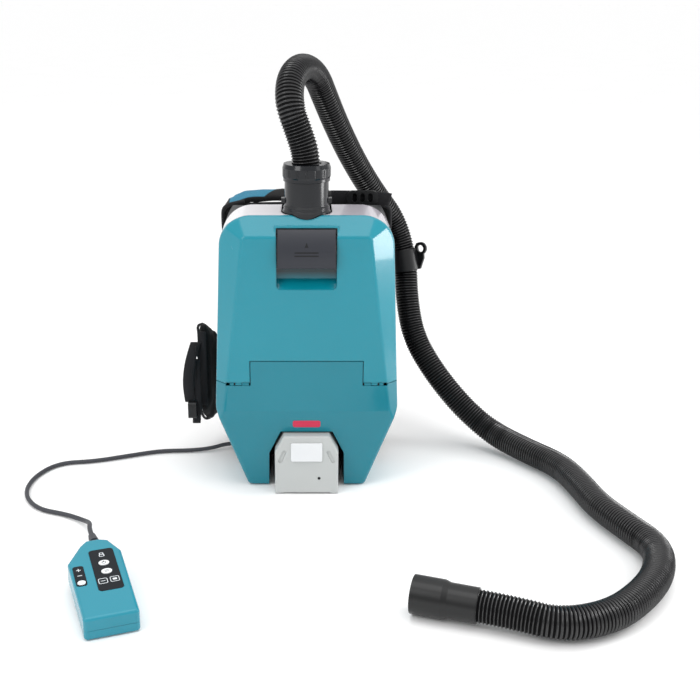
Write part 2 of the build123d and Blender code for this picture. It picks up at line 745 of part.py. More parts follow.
with BuildPart() as back_pad:
    with BuildSketch(Plane.XZ.offset(-PLATE_Y1 - 2.2)) as pad_outline:
        with BuildLine():
            Polyline((-58, 58), (58, 58), (68, 100), (68, 240), (54, 304), (-54, 304), (-68, 240),
                     (-68, 100), close=True)
        make_face()
        fillet(pad_outline.vertices(), 16)
    extrude(amount=-18)
    fillet(back_pad.faces().sort_by(Axis.Y)[-1].edges(), 7)
save(back_pad.part, "back_pad")

# Shoulder pads: each leaves the yoke at the top of the plate, lies over a top corner behind the case
# with its outer face tilted forward, and hangs down behind the machine.
STRAP_THICK, STRAP_TILT = 8.0, radians(22)
STRAP_Y, PAD_Y0, PAD_Y1 = 96.2, 112.0, 123.0
PAD_X = 90.0
strap_way = Vector(0, -cos(STRAP_TILT), -sin(STRAP_TILT))
for side, name, width in ((-1, "shoulder_strap_left", 28), (1, "shoulder_strap_right", 24)):
    with BuildPart() as strap:
        with BuildSketch(Plane(origin=(0, STRAP_Y, 346), x_dir=(1, 0, 0), z_dir=strap_way)):
            with BuildLine():
                FilletPolyline(
                    (side * 25, 0), (side * 80, -1), (side * 111, -14), (side * 113, -50),
                    (side * 100, -72), radius=14,
                )
            trace(line_width=STRAP_THICK)
        extrude(amount=-width)
        split(bisect_by=Plane.XZ.offset(-PAD_Y1), keep=Keep.TOP)
        with BuildSketch(Plane.XZ.offset(-PAD_Y1)):
            with Locations((side * PAD_X, 225)):
                RectangleRounded(41, 149, 12)
        extrude(amount=PAD_Y1 - PAD_Y0)
    save(strap.part, name)

# Webbing from the foot of each shoulder pad to the foot of the plate
for side, name in ((-1, "strap_webbing_left"), (1, "strap_webbing_right")):
    with BuildPart() as webbing:
        with BuildSketch(Plane.YZ.offset(side * PAD_X - 12.5)):
            with BuildLine():
                FilletPolyline((117.5, 149), (116.5, 96), (115, 60), (102.6, 48), radius=8)
            trace(line_width=1.8)
        extrude(amount=25)
    save(webbing.part, name)

# Load strap in front of the right shoulder pad, with its three-bar adjuster
LOAD_Y, LOAD_Z = 80.0, 353.8
with BuildPart() as load_strap:
    with BuildSketch(Plane.XZ.offset(-LOAD_Y - 2)):
        with BuildLine():
            FilletPolyline((33, LOAD_Z), (100, LOAD_Z), (112, LOAD_Z - 4), radius=18)
        trace(line_width=18)
    extrude(amount=2)
save(load_strap.part, "load_strap")

with BuildPart() as ladder_lock:
    with BuildSketch(Plane.XZ.offset(-LOAD_Y + 0.4)):
        with Locations((74.5, LOAD_Z)):
            RectangleRounded(41, 18.6, 7)
            with GridLocations(10.5, 1, 3, 1):
                SlotOverall(12, 6, rotation=90, mode=Mode.SUBTRACT)
    extrude(amount=5)
save(ladder_lock.part, "ladder_lock")

with BuildPart() as grab_handle:
    with BuildSketch(Plane.XZ.offset(-PLATE_Y0 - 12.4)):
        with BuildLine():
            FilletPolyline((-19, 328), (-18, 355), (0, 358), (18, 355), (19, 328), radius=8)
        trace(line_width=4)
    extrude(amount=7)
save(grab_handle.part, "grab_handle")

# Hip wings: the left one is folded forward beside the body, the right one points straight back
with BuildPart() as waist_wing_left:
    with BuildSketch(Plane.XY.offset(42)):
        with BuildLine():
            FilletPolyline((-92, 106), (-122, 105.6), (-133, 64), (-139, 14), radius=16)
        trace(line_width=10.8)
    extrude(amount=152)
    with BuildSketch(Plane.YZ.offset(-170)):
        with BuildLine():
            Polyline((0, 40), (0, 88), (22, 64), (55, 42), (55, 40), close=True)
        make_face()
        with BuildLine():
            Polyline((86, 40), (98, 60), (125, 60), (125, 40), close=True)
        make_face()
        with BuildLine():
            Polyline((24, 195), (55, 182), (85, 166), (106, 148), (125, 146), (125, 200), (24, 200), close=True)
        make_face()
    extrude(amount=90, mode=Mode.SUBTRACT)
save(waist_wing_left.part, "waist_wing_left")

with BuildPart() as waist_wing_right:
    with BuildSketch(Plane.XY.offset(60)):
        with BuildLine():
            FilletPolyline((118, 101.2), (119, 150), (108, 208), radius=30)
        trace(line_width=11)
    extrude(amount=88)
    with Locations((111, 104.5, 104)):
        Box(26, 7, 88)
save(waist_wing_right.part, "waist_wing_right")

# Belt webbing: a bight hanging off the left wing, and the tail of the right wing
with BuildPart() as belt_left:
    with BuildSketch(Plane.YZ.offset(-157)):
        with BuildLine():
            FilletPolyline((22, 158), (4, 148), (-4, 124), (-2, 96), radius=8)
        trace(line_width=2.2)
    extrude(amount=9)
save(belt_left.part, "waist_webbing_left")

with BuildPart() as belt_right:
    with BuildSketch(Plane.XY.offset(98)):
        with BuildLine():
            FilletPolyline((106.6, 214), (96, 238), (66, 247), radius=12)
        trace(line_width=2)
    extrude(amount=24)
save(belt_right.part, "waist_webbing_right")

with BuildPart() as waist_buckle_socket:
    with Locations((-152.5, -2, 84)):
        Box(11, 26, 23)
    fillet(waist_buckle_socket.edges().filter_by(Axis.X), 5)
    with Locations((-152.5, -2, 74)):
        Box(6.4, 15, 20, mode=Mode.SUBTRACT)
save(waist_buckle_socket.part, "waist_buckle_socket")

with BuildPart() as waist_buckle_plug:
    with Locations((49, 247.4, 110)):
        Box(33, 7, 27)
    fillet(waist_buckle_plug.edges().filter_by(Axis.Y), 5)
    with Locations((48, 247.4, 110)):
        Box(18, 9, 6, mode=Mode.SUBTRACT)
save(waist_buckle_plug.part, "waist_buckle_plug")

with BuildPart() as case_screws:
    for x, z in ((-84, 100), (84, 100), (-84, 200), (84, 200), (-60, 323), (60, 323)):
        with BuildSketch(Plane.XZ.offset(-PLATE_Y1)):
            with Locations((x, z)):
                Circle(3.6)
        extrude(amount=-1.6)
        with BuildSketch(Plane.XZ.offset(-PLATE_Y1 - 1.7)):
            with Locations((x, z)):
                RegularPolygon(1.9, 6)
        extrude(amount=1.1, mode=Mode.SUBTRACT)
save(case_screws.part, "case_screws")

# ---------------------------------------------------------------- handset

TURN, TILT = radians(HANDSET_TURN), radians(HANDSET_TILT)
HANDSET = Plane(
    origin=(-194.5, -406.0, 0.4),
    x_dir=(cos(TURN), sin(TURN), 0),
    z_dir=(sin(TURN) * sin(TILT), -cos(TURN) * sin(TILT), cos(TILT)),
)


with BuildSketch() as handset_plan:
    with BuildLine():
        Polyline(
            (-HANDSET_HALF + 1.5, HANDSET_NEAR), (HANDSET_HALF - 1, HANDSET_NEAR), (HANDSET_HALF, 110),
            (19, HANDSET_FAR - 4), (10, HANDSET_FAR), (-5, HANDSET_FAR), (-13, HANDSET_FAR - 9),
            (-HANDSET_HALF - 0.5, 99), close=True,
        )
    make_face()
    fillet(handset_plan.vertices(), 4)
with BuildSketch() as handset_inside:
    add(handset_plan.sketch)
    offset(amount=-2.2)


with BuildPart() as control_back:
    with BuildSketch(HANDSET):
        add(handset_plan.sketch)
    extrude(amount=HANDSET_SPLIT)
    fillet(control_back.faces().sort_by(Axis.Z)[0].edges(), 3)
    with BuildSketch(HANDSET.offset(2.2)):
        add(handset_inside.sketch)
    extrude(amount=HANDSET_SPLIT, mode=Mode.SUBTRACT)
save(control_back.part, "control_back")

PANEL_X, PANEL_Y, PANEL_W, PANEL_L = 7.5, 77.0, 26.0, 76.0
SIDE_X, SIDE_Y, SIDE_W, SIDE_L = -20.5, 71.5, 11.0, 36.0
BUTTONS = (("power_button", 7.2, 88.0, 5.6, 4.4), ("mode_button", 7.6, 72.0, 5.6, 4.4),
           ("standby_button", -20.5, 58.5, 4.2, 3.6))

with BuildPart() as control_case:
    with BuildSketch(HANDSET.offset(HANDSET_SPLIT + 0.2)):
        add(handset_plan.sketch)
    extrude(amount=HANDSET_TOP - HANDSET_SPLIT - 0.2)
    fillet(control_case.faces().sort_by(Axis.Z)[-1].edges(), 4)
    with BuildSketch(HANDSET.offset(HANDSET_SPLIT)):
        add(handset_inside.sketch)
    extrude(amount=HANDSET_TOP - HANDSET_SPLIT - 2.5, mode=Mode.SUBTRACT)
    # recesses for the two key panels
    with BuildSketch(HANDSET.offset(HANDSET_TOP - 1.0)):
        with Locations((PANEL_X, PANEL_Y)):
            RectangleRounded(PANEL_W + 0.4, PANEL_L + 0.4, 4.2)
        with Locations((SIDE_X, SIDE_Y)):
            RectangleRounded(SIDE_W + 0.4, SIDE_L + 0.4, 3.2)
    extrude(amount=3, mode=Mode.SUBTRACT)
    # holes for the keys
    with BuildSketch(HANDSET.offset(HANDSET_TOP - 4)):
        for _, x, y, rx, ry in BUTTONS:
            with Locations((x, y)):
                Ellipse(rx - 0.9, ry - 0.9)
    extrude(amount=6, mode=Mode.SUBTRACT)
save(control_case.part, "control_case")

with BuildPart() as control_panel:
    with BuildSketch(HANDSET.offset(HANDSET_TOP - 1.0)):
        with Locations((PANEL_X, PANEL_Y)):
            RectangleRounded(PANEL_W, PANEL_L, 4)
        with Locations((SIDE_X, SIDE_Y)):
            RectangleRounded(SIDE_W, SIDE_L, 3)
        for _, x, y, rx, ry in BUTTONS:
            with Locations((x, y)):
                Ellipse(rx + 0.3, ry + 0.3, mode=Mode.SUBTRACT)
    extrude(amount=1.2)
save(control_panel.part, "control_panel")

for name, x, y, rx, ry in BUTTONS:
    with BuildPart() as key:
        with BuildSketch(HANDSET.offset(HANDSET_TOP + 0.1)):
            with Locations((x, y)):
                Ellipse(rx, ry)
        extrude(amount=1.0)
        with BuildSketch(HANDSET.offset(HANDSET_TOP - 5)):
            with Locations((x, y)):
                Ellipse(rx - 1.4, ry - 1.4)
        extrude(amount=5.4)
    save(key.part, name)

with BuildPart() as control_board:
    with BuildSketch(HANDSET.offset(13)):
        with Locations((0, 60)):
            Rectangle(44, 84)
    extrude(amount=1.6)
save(control_board.part, "control_board")

# Spring clip on the handset's back, for the belt
with BuildPart() as belt_clip:
    with BuildSketch(HANDSET.offset(-5.4)):
        with Locations((0, 98)):
            RectangleRounded(26, 50, 5)
    extrude(amount=1.8)
    with BuildSketch(HANDSET.offset(-4)):
        with Locations((0, 116)):
            Rectangle(20, 7)
    extrude(amount=3.2)
save(belt_clip.part, "belt_clip")

# ---------------------------------------------------------------- cords and what is on them


def cord_radii(name, route, diameter):
    """Largest arc that each corner's two runs allow; prints them and returns them."""
    points = [Vector(*p) for p in route]
    radii = []
    for before, here, after in zip(points, points[1:], points[2:]):
        turn = (here - before).get_angle(after - here)
        run = min((here - before).length, (after - here).length)
        radii.append(0.45 * run / tan(radians(turn / 2)))
    print(f"{name}: radii in diameters", [round(r / diameter, 1) for r in radii])
    return radii


def cord_tube(name, route, radius, wall=None):
    """Tube along a route of straight runs joined by tangent arcs."""
    radii = cord_radii(name, route, 2 * radius)
    start = Vector(*route[1]) - Vector(*route[0])
    with BuildPart() as tube:
        with BuildLine() as path:
            FilletPolyline(*route, radius=radii)
        with BuildSketch(Plane(origin=route[0], z_dir=start)) as section:
            Circle(radius)
            if wall:
                Circle(radius - wall, mode=Mode.SUBTRACT)
        sweep(path=path.wires()[0])
    length = path.wires()[0].length
    print(f"{name}: length {length:.0f}, volume {tube.part.volume:.0f}, "
          f"section x length {section.sketch.area * length:.0f}")
    save(tube.part, name)


cord_tube("hose_tube", HOSE_ROUTE, HOSE_R, HOSE_WALL)
cord_tube("cable_tube", CABLE_ROUTE, CABLE_R)

with BuildPart() as cable_gland:
    with BuildSketch(Plane.YZ.offset(-93)):
        with Locations((48, 10)):
            Circle(4.4)
    with BuildSketch(Plane.YZ.offset(-76)):
        with Locations((48, 10)):
            Circle(4.9)
    loft()
save(cable_gland.part, "cable_gland")

# Boot that the lead runs into, from its end to the handset's far edge
boot_end = Vector(*CABLE_ROUTE[-1])
boot_way = (boot_end - Vector(*CABLE_ROUTE[-2])).normalized()
with BuildPart() as cable_boot:
    with BuildSketch(Plane(origin=boot_end, z_dir=boot_way)):
        Circle(4.2)
    with BuildSketch(Plane(origin=boot_end + boot_way * 20, z_dir=boot_way)):
        Circle(6.0)
    loft()
    add(control_case.part, mode=Mode.SUBTRACT)
    add(control_back.part, mode=Mode.SUBTRACT)
save(cable_boot.part.solids().sort_by(SortBy.VOLUME)[-1], "cable_boot")

# End cuff of the hose, with the socket that tools push into
CUFF_LENGTH, SOCKET_R, SOCKET_LENGTH = 68.0, 17.4, 34.0
cuff_start = Vector(*HOSE_ROUTE[-1])
cuff_way = (cuff_start - Vector(*HOSE_ROUTE[-2])).normalized()
CUFF = Plane(origin=cuff_start, x_dir=(0, 0, 1), z_dir=Vector(0, 0, 1).cross(cuff_way))
with BuildPart() as hose_cuff:
    with BuildSketch(CUFF):
        with BuildLine():
            Polyline(
                (15.6, 0), (18.6, 0), (18.6, 30), (20.5, 36), (20.5, CUFF_LENGTH),
                (SOCKET_R, CUFF_LENGTH), (SOCKET_R, CUFF_LENGTH - SOCKET_LENGTH), (15.6, 28), close=True,
            )
        make_face()
    revolve(axis=Axis(cuff_start, cuff_way))
save(hose_cuff.part, "hose_cuff")
print("cuff mouth", cuff_start + cuff_way * CUFF_LENGTH, "way", cuff_way)

# Clip round the hose, with an eye to hang it from the harness
CLIP_AT, CLIP_UP = Vector(140.5, 151.9, 250), Vector(-0.158, 0.213, 0.964)
CLIP_SIDE = Vector(0.80, -0.54, 0.25)
CLIP_LENGTH, EYE_R = 30.0, 5.0
CLIP = Plane(origin=CLIP_AT - CLIP_UP * CLIP_LENGTH / 2, x_dir=CLIP_SIDE, z_dir=CLIP_UP)
with BuildPart() as hose_clip:
    with BuildSketch(CLIP):
        Circle(22.4)
        Circle(HOSE_R + 1.5, mode=Mode.SUBTRACT)
    extrude(amount=CLIP_LENGTH)
    with BuildSketch(Plane(origin=CLIP.origin, x_dir=CLIP.x_dir, z_dir=-CLIP.y_dir).offset(-2)):
        with BuildLine():
            Polyline((21.5, 0), (21.5, 30), (24, 37), (34, 34), (32, 14), (24, 0), close=True)
        make_face()
        with Locations((29, 28.5)):
            Circle(9.0)
            Circle(EYE_R, mode=Mode.SUBTRACT)
    extrude(amount=4)
save(hose_clip.part, "hose_clip")
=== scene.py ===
import math
import random

import bmesh
import bpy
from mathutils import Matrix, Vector
from mathutils.bvhtree import BVHTree


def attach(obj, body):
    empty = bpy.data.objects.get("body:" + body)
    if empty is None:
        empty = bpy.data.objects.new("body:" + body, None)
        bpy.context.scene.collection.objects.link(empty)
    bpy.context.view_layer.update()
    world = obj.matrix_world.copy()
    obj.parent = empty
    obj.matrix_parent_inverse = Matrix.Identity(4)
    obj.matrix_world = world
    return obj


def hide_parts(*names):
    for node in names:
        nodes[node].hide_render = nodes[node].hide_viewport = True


# Looks of the backpack vacuum cleaner, in metres, built round the CAD frame.

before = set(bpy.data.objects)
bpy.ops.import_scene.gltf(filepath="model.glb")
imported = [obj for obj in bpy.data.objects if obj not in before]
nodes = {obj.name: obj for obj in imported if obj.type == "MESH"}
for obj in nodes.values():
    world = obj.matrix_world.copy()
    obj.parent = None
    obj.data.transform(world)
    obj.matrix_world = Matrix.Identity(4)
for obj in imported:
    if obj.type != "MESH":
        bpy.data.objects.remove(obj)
scene = bpy.context.scene
MM = 0.001

# The tilted plane that the shoulder pads' arches are drawn in: a point of it, and its tilt
STRAP_Y, STRAP_Z = 0.0962, 0.346
STRAP_TILT = math.radians(22)

# ---------------------------------------------------------------- camera

camera_data = bpy.data.cameras.new("camera")
camera_data.sensor_width = 36
camera_data.lens = 53.33
camera_data.shift_x = 0.062
camera_data.dof.use_dof = False
camera = bpy.data.objects.new("camera", camera_data)
camera.location = (0, -1.30, 0.60)
camera.rotation_euler = (math.radians(90 - 18.5), 0, 0)
scene.collection.objects.link(camera)
scene.camera = camera


# ---------------------------------------------------------------- materials

def srgb(r, g, b):
    """Linear colour of an 8-bit screen colour."""
    def channel(c):
        c /= 255
        return c / 12.92 if c <= 0.04045 else ((c + 0.055) / 1.055) ** 2.4
    return (channel(r), channel(g), channel(b), 1)


class Shader:
    """A small helper round one material's node tree."""

    def __init__(self, name):
        self.material = bpy.data.materials.new(name)
        self.material.use_nodes = True
        self.tree = self.material.node_tree
        self.out = self.tree.nodes["Principled BSDF"]
        self.place = self.tree.nodes.new("ShaderNodeTexCoord").outputs["Object"]

    def node(self, kind):
        return self.tree.nodes.new("ShaderNode" + kind)

    def link(self, a, b):
        self.tree.links.new(a, b)

    def noise(self, scale, detail=3.0, rough=0.5):
        made = self.node("TexNoise")
        made.inputs["Scale"].default_value = scale
        made.inputs["Detail"].default_value = detail
        made.inputs["Roughness"].default_value = rough
        self.link(self.place, made.inputs["Vector"])
        return made.outputs["Fac"]

    def math(self, operation, a, b=None, c=None, clamp=False):
        made = self.node("Math")
        made.operation = operation
        made.use_clamp = clamp
        for k, value in enumerate((a, b, c)):
            if value is None:
                continue
            if isinstance(value, (int, float)):
                made.inputs[k].default_value = value
            else:
                self.link(value, made.inputs[k])
        return made.outputs[0]

    def axes(self):
        made = self.node("SeparateXYZ")
        self.link(self.place, made.inputs[0])
        return made.outputs["X"], made.outputs["Y"], made.outputs["Z"]

    def ramp(self, fac, low, high):
        """fac mapped from 0..1 to low..high."""
        made = self.node("MapRange")
        self.link(fac, made.inputs["Value"])
        made.inputs["To Min"].default_value = low
        made.inputs["To Max"].default_value = high
        return made.outputs["Result"]

    def mix(self, fac, a, b):
        made = self.node("Mix")
        made.data_type = "RGBA"
        if isinstance(fac, (int, float)):
            made.inputs[0].default_value = fac
        else:
            self.link(fac, made.inputs[0])
        for key, value in ((6, a), (7, b)):
            if isinstance(value, tuple):
                made.inputs[key].default_value = value
            else:
                self.link(value, made.inputs[key])
        return made.outputs[2]

    def bump(self, height, strength, distance=0.0005, edge=0.0):
        """Surface relief; edge is the radius that sharp edges are seen with."""
        made = self.node("Bump")
        if edge:
            bevel = self.node("Bevel")
            bevel.samples = 4
            bevel.inputs["Radius"].default_value = edge
            self.link(bevel.outputs["Normal"], made.inputs["Normal"])
        made.inputs["Strength"].default_value = strength
        made.inputs["Distance"].default_value = distance
        self.link(height, made.inputs["Height"])
        self.link(made.outputs["Normal"], self.out.inputs["Normal"])

    def set(self, key, value):
        if isinstance(value, (int, float, tuple)):
            self.out.inputs[key].default_value = value
        else:
            self.link(value, self.out.inputs[key])


def darker(colour, k):
    return (colour[0] * k, colour[1] * k, colour[2] * k, 1)


def plastic(name, colour, rough, grain=900.0, relief=0.12, coat=0.0, metal=0.0, spread=0.9, edge=0.0,
            shine=0.35):
    """Moulded plastic, rubber or metal: cloudy colour, worn sheen and a fine grain."""
    s = Shader(name)
    s.set("Base Color", s.mix(s.noise(14), darker(colour, spread), darker(colour, 2 - spread)))
    s.set("Roughness", s.ramp(s.noise(60, 4), rough * 0.85, min(1.0, rough * 1.15)))
    s.set("Metallic", metal)
    s.set("Specular IOR Level", shine)
    s.set("Coat Weight", coat)
    s.set("Coat Roughness", 0.08)
    s.bump(s.noise(grain, 2), relief, 0.0002, edge)
    return s.material


def cloth(name, colour, kind, pitch=0.0016, tint=None):
    """Woven, mesh or felt fabric, with thread relief; tint is a second fabric shown in one area."""
    s = Shader(name)
    x, y, z = s.axes()
    if kind == "felt":
        height = s.noise(1400, 4)
    elif kind == "mesh":
        cells = s.node("TexVoronoi")
        cells.inputs["Scale"].default_value = 1 / pitch
        s.link(s.place, cells.inputs["Vector"])
        height = cells.outputs["Distance"]
    else:
        waves = []
        for a, b in ((x, z), (y, z), (x, y)):
            turn = s.math("MULTIPLY", s.math("ADD", a, b), 2 * math.pi / pitch)
            waves.append(s.math("ABSOLUTE", s.math("SINE", turn)))
        height = s.math("MULTIPLY", s.math("ADD", s.math("ADD", waves[0], waves[1]), waves[2]), 0.33)
    height = s.math("ADD", s.math("MULTIPLY", height, 0.8), s.math("MULTIPLY", s.noise(2500, 2), 0.3))
    base = s.mix(height, darker(colour, 0.55), darker(colour, 1.35))
    if tint:
        base = s.mix(tint(s), base, s.mix(height, darker(TEAL_CLOTH, 0.75), darker(TEAL_CLOTH, 1.15)))
    s.set("Base Color", base)
    s.set("Roughness", 0.88)
    s.set("Sheen Weight", 0.08)
    s.set("Specular IOR Level", 0.25)
    s.set("Sheen Roughness", 0.6)
    s.bump(height, 0.55, 0.0005)
    return s.material


TEAL = srgb(2, 131, 149)
TEAL_CLOTH = srgb(52, 122, 150)
BLACK_CLOTH = srgb(12, 12, 14)


def cover_shell():
    """Glossy teal, with a pale painted reflection on the top face behind the bevel's edge, which lies further
    back lower down.
    """
    reflection_y, reflection_z, reflection_slope = -0.0605, 0.349, 2.2
    pocket_y, pocket_half, pocket_top, shade_from = -0.0843, 0.0370, 0.3445, 0.2765
    s = Shader("cover_teal")
    x, y, z = s.axes()
    teal = s.mix(s.noise(9), darker(TEAL, 0.93), darker(TEAL, 1.07))
    # painted reflection of the white surroundings on the top face, paler on the left and greyer on the right
    painted_reflection = s.mix(s.math("MULTIPLY_ADD", x, 5.0, 0.5, clamp=True), srgb(232, 229, 233), srgb(176, 170, 180))
    drop = s.math("MAXIMUM", s.math("SUBTRACT", reflection_z, z), 0.0)
    behind = s.math("SUBTRACT", s.math("SUBTRACT", y, reflection_y), s.math("MULTIPLY", drop, reflection_slope))
    reflection_mask = s.math("MULTIPLY", behind, 1500.0, clamp=True)
    # the latch's pocket is in the latch's shadow towards its top
    inside = s.math("MULTIPLY", s.math("SUBTRACT", y, pocket_y), 3000.0, clamp=True)
    inside = s.math("MULTIPLY", inside, s.math("LESS_THAN", s.math("ABSOLUTE", x), pocket_half))
    inside = s.math("MULTIPLY", inside, s.math("LESS_THAN", z, pocket_top))
    shade = s.math("MULTIPLY", s.math("SUBTRACT", z, shade_from), 75.0, clamp=True)
    shade = s.math("MULTIPLY", inside, shade)
    teal = s.mix(shade, teal, darker(TEAL, 0.10))
    s.set("Base Color", s.mix(reflection_mask, teal, painted_reflection))
    s.set("Roughness", s.ramp(s.noise(45, 4), 0.20, 0.30))
    s.set("Specular IOR Level", 0.3)
    s.set("Coat Weight", 0.5)
    s.set("Coat Roughness", 0.05)
    s.bump(s.noise(260, 2), 0.05, 0.0002, 0.0030)
    return s.material


def strap_tint(s):
    """Where the left shoulder pad has its teal panel: on top of its arch, inside the black edging."""
    def beyond(value, limit, sharpness):
        return s.math("MULTIPLY", s.math("SUBTRACT", value, limit), sharpness, clamp=True)

    x, y, z = s.axes()
    inner = beyond(s.math("MULTIPLY_ADD", y, 0.9, s.math("MULTIPLY", x, -1.0)), 0.146, 500.0)
    outer = beyond(x, -0.106, 700.0)
    forward = s.math("MULTIPLY", s.math("SUBTRACT", STRAP_Z, z), math.sin(STRAP_TILT))
    front = beyond(s.math("SUBTRACT", s.math("MULTIPLY", y, math.cos(STRAP_TILT)), forward), 0.0935, 900.0)
    high = beyond(z, 0.335, 900.0)
    return s.math("MULTIPLY", s.math("MULTIPLY", inner, outer), s.math("MULTIPLY", front, high), clamp=True)


cover_teal = cover_shell()
housing_teal = plastic("housing_teal", srgb(8, 120, 137), 0.25, 260, 0.05, coat=0.35, spread=0.94,
                       edge=0.0012, shine=0.3)
handset_teal = plastic("handset_teal", srgb(26, 134, 154), 0.25, 260, 0.05, coat=0.35, spread=0.95,
                       edge=0.0012)
rear_dark = plastic("rear_dark", srgb(22, 24, 28), 0.5, 1100, 0.35, edge=0.0012)
latch_dark = plastic("latch_dark", srgb(44, 46, 53), 0.40, 1500, 0.25, edge=0.0010)
collar_dark = plastic("collar_dark", srgb(14, 17, 22), 0.22, 700, 0.10, coat=0.2, edge=0.0006)
buckle_dark = plastic("buckle_dark", srgb(20, 21, 23), 0.38, 1200, 0.25, edge=0.0005)
battery_grey = plastic("battery_grey", srgb(184, 187, 186), 0.42, 1400, 0.22, spread=0.96, edge=0.0008)
battery_key = plastic("battery_key", srgb(222, 224, 226), 0.36, 1200, 0.15, spread=0.98, edge=0.0006)
key_white = plastic("key_white", srgb(235, 238, 240), 0.25, 600, 0.05, coat=0.3, spread=0.98)
panel_dark = plastic("panel_dark", srgb(14, 20, 26), 0.3, 500, 0.05, shine=0.2)
liner_black = plastic("liner_black", srgb(22, 24, 27), 0.5, 1000, 0.25)
hose_rubber = plastic("hose_rubber", srgb(22, 22, 24), 0.26, 800, 0.08, shine=0.6)
# painted shade: near-black colour for the hose's valleys between its ribs
hose_valley_shade = plastic("hose_valley_shade", srgb(3, 3, 4), 0.7, 800, 0.1, shine=0.1)
lead_rubber = plastic("lead_rubber", srgb(62, 63, 68), 0.55, 1000, 0.2)
cuff_rubber = plastic("cuff_rubber", srgb(8, 9, 10), 0.34, 900, 0.15, coat=0.2)
soft_rubber = plastic("soft_rubber", srgb(38, 38, 40), 0.8, 1400, 0.3)
steel = plastic("steel", srgb(196, 197, 200), 0.28, 1200, 0.12, metal=1.0)
aluminium = plastic("aluminium", srgb(200, 202, 205), 0.38, 1400, 0.25, metal=1.0)
copper = plastic("copper", srgb(188, 112, 62), 0.35, 1800, 0.5, metal=1.0)
cell_wrap = plastic("cell_wrap", srgb(70, 120, 96), 0.4, 600, 0.1)
board_green = plastic("board_green", srgb(26, 92, 58), 0.4, 900, 0.2)
card = plastic("card", srgb(176, 148, 112), 0.85, 1600, 0.5)
badge_red = plastic("badge_red", srgb(200, 32, 72), 0.35, 500, 0.05, coat=0.2)
mark_dark = plastic("mark_dark", srgb(14, 15, 18), 0.5, 900, 0.1)
mark_white = plastic("mark_white", srgb(226, 232, 236), 0.4, 900, 0.05)
filter_paper = cloth("filter_paper", srgb(232, 231, 226), "felt")
bag_felt = cloth("bag_felt", srgb(226, 219, 202), "felt")
pad_mesh = cloth("pad_mesh", BLACK_CLOTH, "mesh", 0.0022)
strap_mesh = cloth("strap_mesh", BLACK_CLOTH, "mesh", 0.0018, tint=strap_tint)
webbing_weave = cloth("webbing_weave", srgb(22, 22, 25), "weave", 0.0024)
piping_cloth = cloth("piping_cloth", srgb(26, 26, 29), "weave", 0.0012)

PAINT = {
    cover_teal: "front_cover",
    housing_teal: "lower_housing",
    handset_teal: "control_back control_case",
    rear_dark: "rear_case back_plate motor_bulkhead bag_holder filter_frame impeller",
    latch_dark: "cover_latch latch_pin cover_hinge_pins",
    collar_dark: "inlet_collar swivel_cuff",
    buckle_dark: "ladder_lock waist_buckle_socket waist_buckle_plug belt_clip hose_clip",
    battery_grey: "battery_case",
    battery_key: "battery_button",
    key_white: "power_button mode_button standby_button",
    panel_dark: "control_panel",
    liner_black: "bay_liner terminal_block",
    lead_rubber: "cable_boot cable_gland",
    cuff_rubber: "hose_cuff",
    soft_rubber: "cover_seal inlet_seal motor_seal",
    steel: "latch_spring button_spring case_screws motor_shaft shaft_bearings",
    aluminium: "motor_can",
    copper: "motor_stator",
    cell_wrap: "battery_cells",
    board_green: "controller_board control_board",
    card: "bag_collar",
    filter_paper: "hepa_filter",
}
for paint, names in PAINT.items():
    for name in names.split():
        nodes[name].data.materials.clear()
        nodes[name].data.materials.append(paint)


# ---------------------------------------------------------------- building helpers

# How many frames a pad swells for, how deep its wrinkles are, and how far outside a surface a mark starts
PUFF_FRAMES, WRINKLE, CAST_FROM = 20, 0.0005, 0.05


def add_mesh(name, points, faces, paint, body):
    data = bpy.data.meshes.new(name)
    data.from_pydata([tuple(p) for p in points], [], faces)
    data.validate()
    data.materials.append(paint)
    for polygon in data.polygons:
        polygon.use_smooth = True
    made = bpy.data.objects.new(name, data)
    scene.collection.objects.link(made)
    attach(made, body)
    return made


def nurbs(name, route, depth=0.0, cyclic=False):
    """Curve object along a route, in metres."""
    data = bpy.data.curves.new(name, "CURVE")
    data.dimensions = "3D"
    spline = data.splines.new("NURBS")
    spline.points.add(len(route) - 1)
    for point, place in zip(spline.points, route):
        point.co = (*place, 1)
    spline.order_u = 3
    spline.use_cyclic_u = cyclic
    spline.use_endpoint_u = not cyclic
    spline.resolution_u = 16
    data.bevel_depth = depth
    data.bevel_resolution = 5
    data.use_fill_caps = not cyclic
    made = bpy.data.objects.new(name, data)
    scene.collection.objects.link(made)
    return made


def line_points(route, step):
    """Points a step apart along the spline through a route."""
    guide = nurbs("guide", route)
    bpy.context.view_layer.update()
    mesh = guide.evaluated_get(bpy.context.evaluated_depsgraph_get()).to_mesh()
    raw = [v.co.copy() for v in mesh.vertices]
    bpy.data.objects.remove(guide)
    lengths = [0.0]
    for a, b in zip(raw, raw[1:]):
        lengths.append(lengths[-1] + (b - a).length)
    count = max(2, round(lengths[-1] / step))
    found, k = [], 0
    for i in range(count + 1):
        goal = lengths[-1] * i / count
        while k < len(raw) - 2 and lengths[k + 1] < goal:
            k += 1
        part = max(lengths[k + 1] - lengths[k], 1e-9)
        found.append(raw[k].lerp(raw[k + 1], (goal - lengths[k]) / part))
    return found


def tangents(points):
    last = len(points) - 1
    return [(points[min(i + 1, last)] - points[max(i - 1, 0)]).normalized() for i in range(last + 1)]


